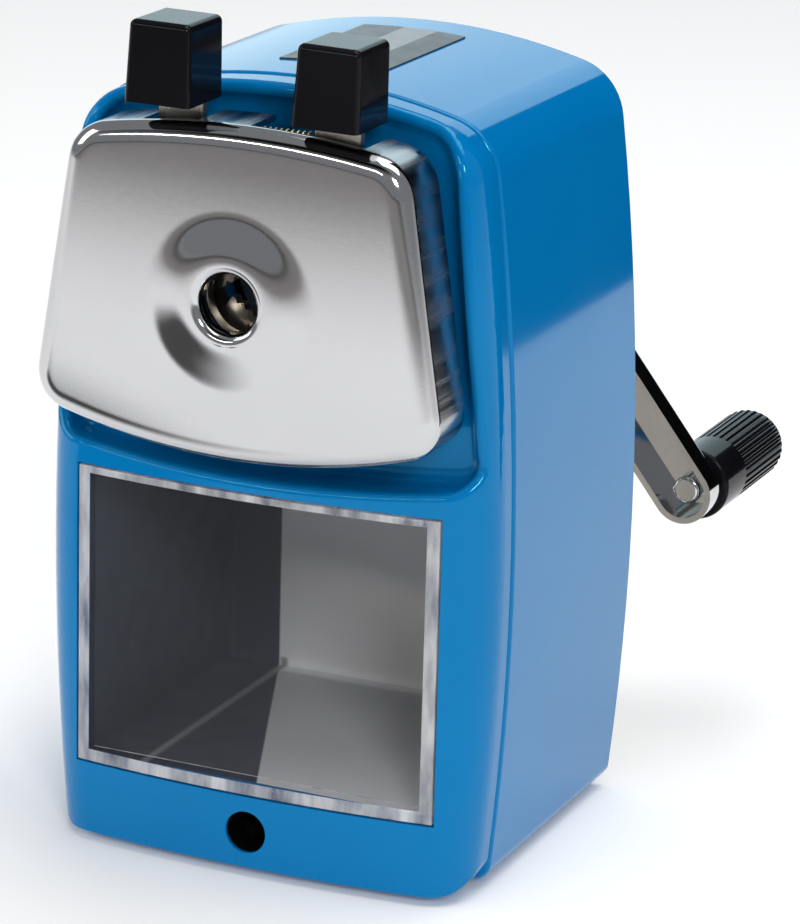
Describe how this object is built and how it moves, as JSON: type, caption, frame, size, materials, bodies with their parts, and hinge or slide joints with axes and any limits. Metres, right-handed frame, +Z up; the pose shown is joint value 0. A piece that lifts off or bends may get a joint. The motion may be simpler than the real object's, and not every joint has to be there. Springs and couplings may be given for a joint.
{
  "type": "pencil sharpener",
  "caption": "Upright hand-crank desk pencil sharpener: bowed metal body, chromed sliding face with a clamping chuck, clear shavings drawer and rear crank.",
  "frame": {"origin": "on the underside of the base pad, under the pencil axis, 30 mm behind the front face", "axes": "+Z up, -Y out of the front (the pencil goes in along +Y), +X to the right seen from the front"},
  "size_m": [0.0723, 0.1143, 0.1181],
  "materials": {
    "blue_paint": "glossy enamel",
    "chrome": "bright plated",
    "steel": "plain pressed steel",
    "black_plastic": "glossy",
    "clear_plastic": "clear moulded styrene",
    "grey_plastic": "satin",
    "rubber": "matte",
    "brass": "plain",
    "cutter_steel": "hardened, ground",
    "label": "printed film"
  },
  "bodies": {
    "housing": {"base_pad": "rubber", "clamp_tube": "steel", "crank_bush": "steel", "drawer_bay": "steel", "drawer_detent": "steel", "front_bearing": "brass", "front_bezel": "blue_paint", "front_bulkhead": "steel", "guide_bush_left": "brass", "guide_bush_right": "brass", "outer_sleeve": "blue_paint", "panel_screw_1": "steel", "panel_screw_2": "steel", "panel_screw_3": "steel", "panel_screw_4": "steel", "rear_panel": "steel", "ring_gear": "grey_plastic", "shavings_guard": "steel", "tie_post_1": "steel", "tie_post_2": "steel", "tie_post_3": "steel", "tie_post_4": "steel", "top_label": "label"},
    "face_unit": {"face_plate": "chrome", "chuck_collar": "steel", "chuck_plate": "steel", "fixed_tab": "steel", "left_button": "black_plastic", "lever_spring": "brass", "feed_spring_left": "steel", "feed_spring_right": "steel", "guide_rod_left": "steel", "guide_rod_right": "steel", "jaw_pin_1": "steel", "jaw_pin_2": "steel", "jaw_pin_3": "steel", "plate_rivet_1": "steel", "plate_rivet_2": "steel", "plate_rivet_3": "steel", "plate_rivet_4": "steel", "rod_stop_left": "steel", "rod_stop_right": "steel"},
    "lever": {"clamp_lever": "steel", "right_button": "black_plastic"},
    "drawer": {"drawer_tray": "clear_plastic"},
    "carrier": {"cutter_carrier": "grey_plastic", "cutter_axle": "steel", "crank_shaft": "steel", "crank_arm": "chrome", "crank_nut": "chrome", "knob_pin": "chrome"},
    "cutter": {"helical_cutter": "cutter_steel", "cutter_pinion": "cutter_steel"},
    "knob": {"crank_knob": "black_plastic"},
    "jaw_body_1": {"jaw_1": "steel"},
    "jaw_body_2": {"jaw_2": "steel"},
    "jaw_body_3": {"jaw_3": "steel"}
  },
  "joints": [
    {"name": "face_slide", "type": "slide", "parent": "housing", "child": "face_unit", "axis": [0, -1, 0], "range_m": [0, 0.022], "stiffness_N_per_m": 120, "springref_m": -0.01, "deforming": ["feed_spring_left", "feed_spring_right"]},
    {"name": "lever_squeeze", "type": "hinge", "parent": "face_unit", "child": "lever", "pos_m": [0, -0.0328, 0.0819], "axis": [0, -1, 0], "range_deg": [0, 11], "stiffness_Nm_per_rad": 0.06, "springref_deg": -5.73, "deforming": ["lever_spring"]},
    {"name": "drawer_slide", "type": "slide", "parent": "housing", "child": "drawer", "axis": [0, -1, 0], "range_m": [0, 0.045]},
    {"name": "crank_turn", "type": "hinge", "parent": "housing", "child": "carrier", "pos_m": [0, 0.02, 0.0819], "axis": [0, 1, 0], "continuous": true},
    {"name": "cutter_spin", "type": "hinge", "parent": "carrier", "child": "cutter", "pos_m": [0, -0.0094, 0.09165], "axis": [0, 0.9848, -0.1736], "continuous": true},
    {"name": "knob_spin", "type": "hinge", "parent": "carrier", "child": "knob", "pos_m": [0.03362, 0.055, 0.03887], "axis": [0, 1, 0], "continuous": true},
    {"name": "jaw_swing_1", "type": "hinge", "parent": "face_unit", "child": "jaw_body_1", "pos_m": [0.0035, -0.029, 0.0934], "axis": [0, -1, 0], "range_deg": [0, 14]},
    {"name": "jaw_swing_2", "type": "hinge", "parent": "face_unit", "child": "jaw_body_2", "pos_m": [-0.01171, -0.029, 0.07918], "axis": [0, -1, 0], "range_deg": [0, 14]},
    {"name": "jaw_swing_3", "type": "hinge", "parent": "face_unit", "child": "jaw_body_3", "pos_m": [0.00821, -0.029, 0.07312], "axis": [0, -1, 0], "range_deg": [0, 14]}
  ],
  "couplings": [
    {"joint": "cutter_spin", "follows": "crank_turn", "ratio": -3.1667},
    {"joint": "jaw_swing_1", "follows": "lever_squeeze", "ratio": 1.15},
    {"joint": "jaw_swing_2", "follows": "lever_squeeze", "ratio": 1.15},
    {"joint": "jaw_swing_3", "follows": "lever_squeeze", "ratio": 1.15}
  ]
}
